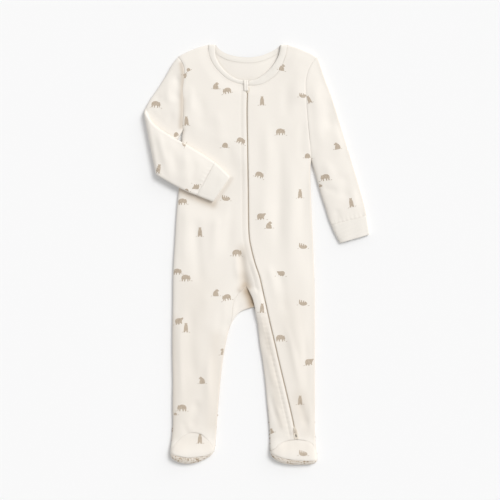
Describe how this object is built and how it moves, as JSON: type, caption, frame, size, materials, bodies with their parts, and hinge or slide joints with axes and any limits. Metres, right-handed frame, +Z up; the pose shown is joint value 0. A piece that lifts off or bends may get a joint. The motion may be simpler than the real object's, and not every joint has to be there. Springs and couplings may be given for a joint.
{
  "type": "footed baby sleepsuit",
  "caption": "Footed baby sleepsuit laid flat, long sleeves with ribbed cuffs, one folded over, a front zip that curves down one leg, soled feet and a small bear print.",
  "frame": {"origin": "centre of the laid garment's box, on the surface that it lies on", "axes": "+Y along the garment toward the neck, +X to the right as seen from above, +Z up, out of the garment's front"},
  "size_m": [0.3966, 0.739, 0.0156],
  "materials": {
    "cotton": "fine cotton interlock jersey, matt, printed with small animals",
    "rib": "fine cotton rib, matt",
    "sole": "cotton with small non-slip dots",
    "tape": "woven zip tape with a spiral of nylon teeth",
    "metal": "zip slider lacquered beige, satin"
  },
  "bodies": {
    "garment": {"front_left": "cotton", "front_leg_left": "cotton", "front_placket": "cotton", "front_right": "cotton", "back": "cotton", "back_leg_left": "cotton", "back_leg_right": "cotton", "gusset": "cotton", "sleeve_left": "cotton", "sleeve_right": "cotton", "cuff_left": "rib", "cuff_right": "rib", "neck_band": "rib", "vamp_left": "cotton", "vamp_right": "cotton", "sole_left": "sole", "sole_right": "sole", "zip_tape_left": "tape", "zip_tape_right": "tape", "zip_guard": "cotton", "slider_top": "metal", "slider_bottom": "metal"},
    "pull_tab": {"pull_tab": "metal"}
  },
  "joints": [
    {"name": "tab_flip", "type": "hinge", "parent": "garment", "child": "pull_tab", "pos_m": [0.0669, -0.30797, 0.0102], "axis": [-0.981, -0.194, 0], "range_deg": [0, 170]}
  ]
}
